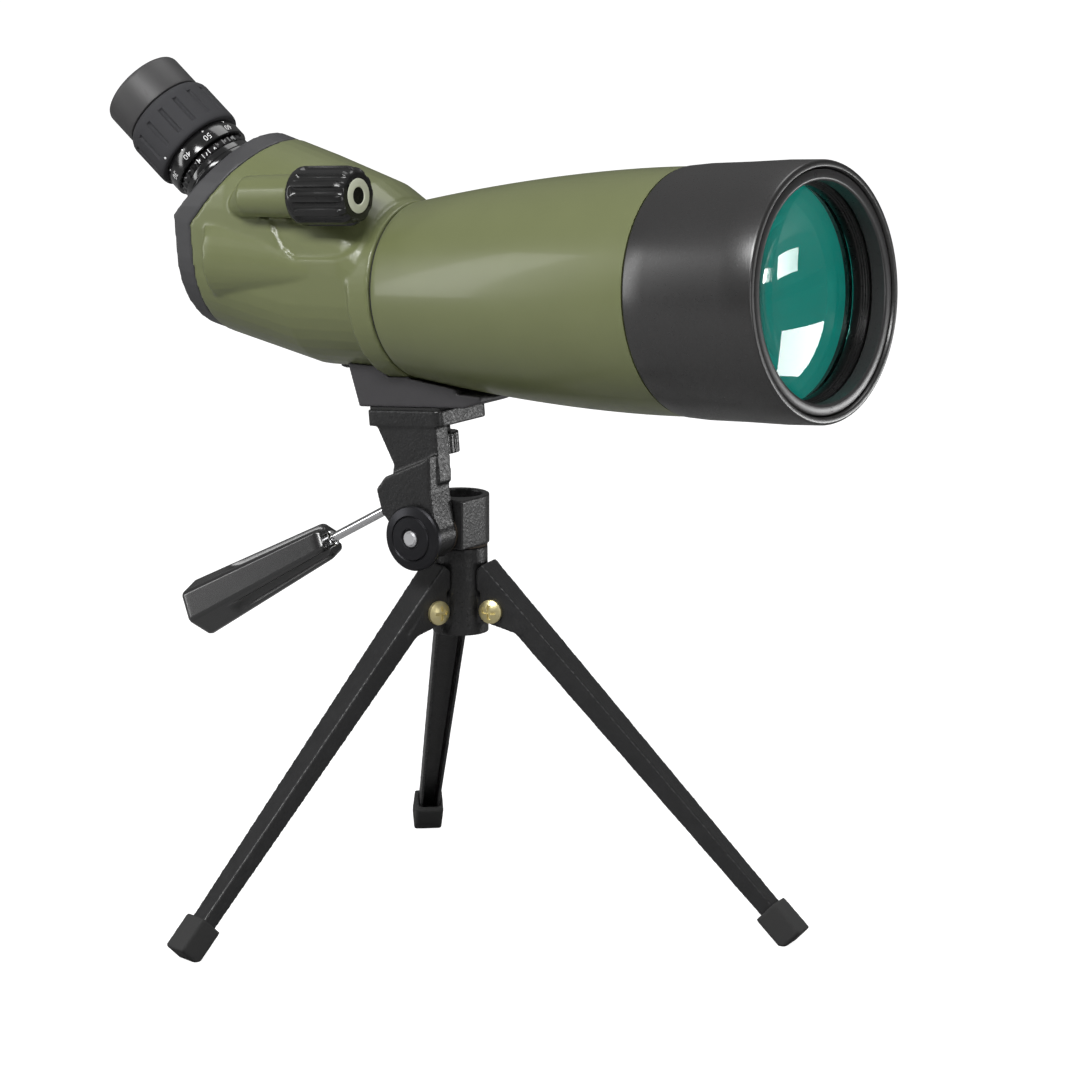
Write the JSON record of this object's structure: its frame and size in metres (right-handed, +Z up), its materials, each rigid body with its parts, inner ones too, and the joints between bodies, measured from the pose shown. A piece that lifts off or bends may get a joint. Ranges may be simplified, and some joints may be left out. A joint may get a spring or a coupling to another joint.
{
  "type": "spotting scope",
  "caption": "Angled zoom spotting scope with a flared green barrel, black hood and side focus knob, on a folding table-top tripod with a pan and tilt head and a stub handle.",
  "frame": {"origin": "on the ground, under the middle of the whole object's box at rest", "axes": "+X the way the objective looks, +Z up, -Y the side with the focus knob and pan handle"},
  "size_m": [0.2766, 0.1912, 0.2663],
  "materials": {
    "green_body": "satin olive coat",
    "hood_black": "satin",
    "black_metal": "black anodised",
    "coated_glass": "green-blue coating",
    "clear_glass": "polished",
    "soft_rubber": "matt",
    "dark_cover": "fine texture",
    "black_steel": "black oxide",
    "plain_steel": "satin",
    "brass": "turned",
    "knob_black": "gloss",
    "cream_inlay": "smooth",
    "grip_rubber": "matt",
    "cast_black": "wrinkle paint",
    "disc_black": "turned, black",
    "bright_zinc": "bright zinc",
    "fibre": "pressed fibre",
    "chrome_rod": "polished",
    "handle_black": "gloss",
    "leg_black": "textured paint",
    "foot_rubber": "matt",
    "yellow_zinc": "yellow zinc"
  },
  "bodies": {
    "tripod": {"tripod_hub": "cast_black", "pan_screw": "bright_zinc", "pan_washer": "fibre", "leg_screws": "yellow_zinc", "leg_nuts": "yellow_zinc"},
    "front_leg_body": {"front_leg": "leg_black", "front_foot_cap": "foot_rubber"},
    "back_leg_body": {"back_leg": "leg_black", "back_foot_cap": "foot_rubber"},
    "side_leg_body": {"side_leg": "leg_black", "side_foot_cap": "foot_rubber"},
    "pan_head": {"pan_column": "cast_black", "tilt_bolt": "bright_zinc", "tilt_disc": "disc_black", "tilt_washer": "fibre"},
    "scope": {"tilt_bracket": "cast_black", "platform_pad": "soft_rubber", "screw_clip": "plain_steel", "mounting_foot": "dark_cover", "thread_insert": "brass", "foot_screws": "plain_steel", "prism_housing": "green_body", "rear_cover": "dark_cover", "cover_screws": "black_steel", "erecting_prism": "clear_glass", "prism_tray": "plain_steel", "tray_screws": "black_steel", "focus_guide_rod": "plain_steel", "shaft_seal": "soft_rubber", "main_tube": "green_body", "tube_baffles": "black_metal", "seam_gasket": "soft_rubber", "objective_hood": "hood_black", "front_trim_ring": "black_metal", "lens_retaining_ring": "black_metal", "objective_crown_lens": "coated_glass", "lens_spacer": "black_metal", "objective_flint_lens": "clear_glass", "objective_cell": "black_metal", "eyepiece_socket": "black_metal", "eyepiece_barrel": "black_metal", "scale_ring": "black_metal", "field_lens": "clear_glass", "eye_lens": "clear_glass", "eye_lens_ring": "black_metal", "eyecup": "grip_rubber"},
    "handle": {"handle_rod": "chrome_rod", "handle_grip": "handle_black"},
    "clamp_screw": {"camera_screw": "knob_black"},
    "focus_drive": {"focus_knob": "knob_black", "focus_knob_cap": "cream_inlay", "focus_shaft": "plain_steel"},
    "focus_slide": {"focus_carriage": "brass", "focusing_lens": "clear_glass"},
    "eyepiece_lock": {"socket_lock_ring": "black_metal"},
    "zoom_ring": {"zoom_sleeve": "black_metal", "zoom_grip": "grip_rubber"},
    "zoom_group": {"zoom_cell": "black_metal", "zoom_lens": "clear_glass"}
  },
  "joints": [
    {"name": "front_leg_fold", "type": "hinge", "parent": "tripod", "child": "front_leg_body", "pos_m": [-0.01238, -0.00072, 0.0994], "axis": [0.9563, -0.2924, 0], "range_deg": [0, 43]},
    {"name": "back_leg_fold", "type": "hinge", "parent": "tripod", "child": "back_leg_body", "pos_m": [-0.01744, 0.02121, 0.0994], "axis": [-0.7314, -0.682, 0], "range_deg": [0, 43]},
    {"name": "side_leg_fold", "type": "hinge", "parent": "tripod", "child": "side_leg_body", "pos_m": [0.00409, 0.01463, 0.0994], "axis": [-0.225, 0.9744, 0], "range_deg": [0, 43]},
    {"name": "pan", "type": "hinge", "parent": "tripod", "child": "pan_head", "pos_m": [-0.00858, 0.01171, 0.12], "axis": [0, 0, 1], "continuous": true},
    {"name": "tilt", "type": "hinge", "parent": "pan_head", "child": "scope", "pos_m": [-0.00858, 0.00371, 0.125], "axis": [0, -1, 0], "range_deg": [-30, 20]},
    {"name": "handle_twist", "type": "hinge", "parent": "scope", "child": "handle", "pos_m": [-0.02394, -0.00629, 0.13141], "axis": [-0.8763, 0, -0.4818], "range_deg": [-90, 30]},
    {"name": "clamp_screw_turn", "type": "hinge", "parent": "scope", "child": "clamp_screw", "pos_m": [-0.0123, 0.00371, 0.15318], "axis": [-0.0924, 0, 0.9957], "range_deg": [-360, 0]},
    {"name": "focus_turn", "type": "hinge", "parent": "scope", "child": "focus_drive", "pos_m": [-0.03571, -0.02329, 0.23235], "axis": [0.9957, 0, 0.0924], "range_deg": [-540, 540]},
    {"name": "focus_travel", "type": "slide", "parent": "scope", "child": "focus_slide", "axis": [0.9957, 0, 0.0924], "range_m": [-0.0052, 0.0052]},
    {"name": "eyepiece_lock_turn", "type": "hinge", "parent": "scope", "child": "eyepiece_lock", "pos_m": [-0.10026, 0.00371, 0.23261], "axis": [-0.7912, 0, 0.6115], "range_deg": [0, 120]},
    {"name": "zoom_turn", "type": "hinge", "parent": "scope", "child": "zoom_ring", "pos_m": [-0.11332, 0.00371, 0.2427], "axis": [-0.7912, 0, 0.6115], "range_deg": [0, 150]},
    {"name": "zoom_travel", "type": "slide", "parent": "scope", "child": "zoom_group", "axis": [-0.7912, 0, 0.6115], "range_m": [-0.0001, 0.0062]}
  ],
  "couplings": [
    {"joint": "focus_travel", "follows": "focus_turn", "m_per_rad": 0.00053052},
    {"joint": "zoom_travel", "follows": "zoom_turn", "m_per_rad": 0.0022918}
  ]
}
